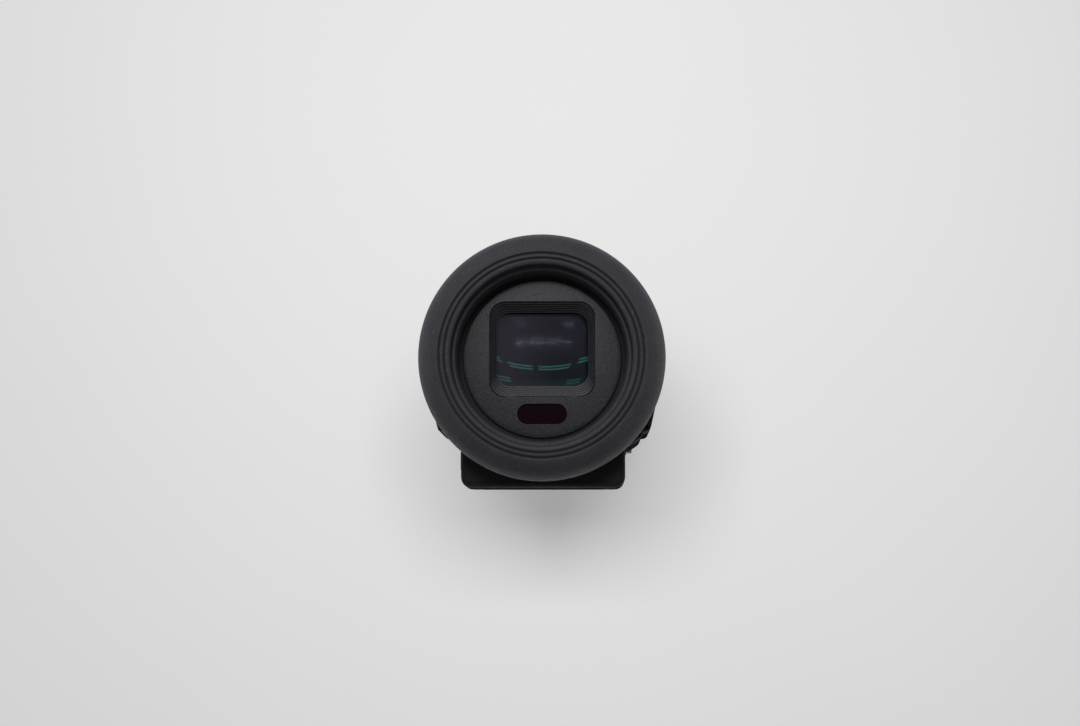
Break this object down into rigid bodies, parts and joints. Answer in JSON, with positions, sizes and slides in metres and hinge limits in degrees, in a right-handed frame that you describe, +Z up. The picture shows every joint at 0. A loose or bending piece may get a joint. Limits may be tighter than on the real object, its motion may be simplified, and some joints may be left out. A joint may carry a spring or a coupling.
{
  "type": "shoe-mount electronic viewfinder",
  "caption": "Small electronic viewfinder with a round rubber eyecup and a rectangular eye lens, on a tilting head over an accessory-shoe foot with a rear contact block.",
  "frame": {"origin": "centre of the shoe foot's bottom face", "axes": "+Z up out of the shoe, +Y towards the front of the camera along the optical axis, the eye looks in from -Y"},
  "size_m": [0.031, 0.0448, 0.0316],
  "materials": {
    "rubber": "matt moulded rubber",
    "casing": "fine matt texture",
    "panel": "fine grained moulding",
    "dark_metal": "black anodised",
    "steel": "brushed",
    "gold": "plated contacts",
    "circuit": "solder mask",
    "flex": "polyimide film",
    "optical_glass": "coated glass",
    "eye_glass": "dark coated lens",
    "filter": "infrared filter",
    "chip": "moulded"
  },
  "bodies": {
    "base": {"shoe_foot": "steel", "foot_neck": "dark_metal", "foot_screw_1": "steel", "foot_screw_2": "steel", "foot_screw_3": "steel", "foot_screw_4": "steel", "contact_tongue": "chip", "contact_comb": "gold", "deck": "casing", "hinge_arm_left": "dark_metal", "hinge_cap_left": "dark_metal", "friction_washer_left": "steel", "hinge_arm_right": "dark_metal", "hinge_cap_right": "dark_metal", "friction_washer_right": "steel", "hinge_pin": "steel", "rear_block": "casing", "block_cover": "casing", "block_screw_left": "dark_metal", "block_screw_right": "dark_metal", "base_board": "circuit", "base_flex": "flex", "button_spring": "steel", "pin_spring": "steel"},
    "head": {"rear_barrel": "casing", "front_barrel": "casing", "nose_cap": "casing", "nose_screw_left": "dark_metal", "nose_screw_right": "dark_metal", "bracket_screw_left": "steel", "bracket_screw_right": "steel", "tilt_bracket": "dark_metal", "eyecup": "rubber", "eyepiece_panel": "panel", "sensor_window": "filter", "eye_lens": "eye_glass", "eyepiece_frame": "casing", "sensor_board": "circuit", "infrared_emitter": "chip", "infrared_receiver": "chip", "wave_washer": "steel", "guide_rod_left": "steel", "guide_rod_right": "steel", "display_frame": "casing", "display": "eye_glass", "backlight": "panel", "heat_plate": "steel", "main_board": "circuit", "head_flex": "flex"},
    "dial": {"diopter_dial": "casing", "dial_shaft": "steel", "dial_screw": "dark_metal"},
    "lens_group": {"lens_carrier": "dark_metal", "rear_lens": "optical_glass", "front_lens": "optical_glass", "lens_spacer": "dark_metal", "lens_retainer": "dark_metal"},
    "lock_button": {"lock_button": "casing", "lock_lever": "steel"},
    "lock_pin": {"lock_pin": "steel"}
  },
  "joints": [
    {"name": "tilt", "type": "hinge", "parent": "base", "child": "head", "pos_m": [0, 0.014, 0.006], "axis": [-1, 0, 0], "range_deg": [0, 90]},
    {"name": "diopter", "type": "hinge", "parent": "head", "child": "dial", "pos_m": [0, -0.013, 0.0156], "axis": [1, 0, 0], "range_deg": [-60, 60]},
    {"name": "focus", "type": "slide", "parent": "head", "child": "lens_group", "axis": [0, -1, 0], "range_m": [-0.00104, 0.00104]},
    {"name": "lock_press", "type": "slide", "parent": "base", "child": "lock_button", "axis": [1, 0, 0], "range_m": [0, 0.0012], "stiffness_N_per_m": 400, "springref_m": -0.001, "deforming": ["button_spring"]},
    {"name": "lock_rise", "type": "slide", "parent": "base", "child": "lock_pin", "axis": [0, 0, 1], "range_m": [0, 0.0009], "deforming": ["pin_spring"]}
  ],
  "couplings": [
    {"joint": "diopter", "follows": "focus", "rad_per_m": 1007},
    {"joint": "lock_rise", "follows": "lock_press", "ratio": 0.75}
  ]
}
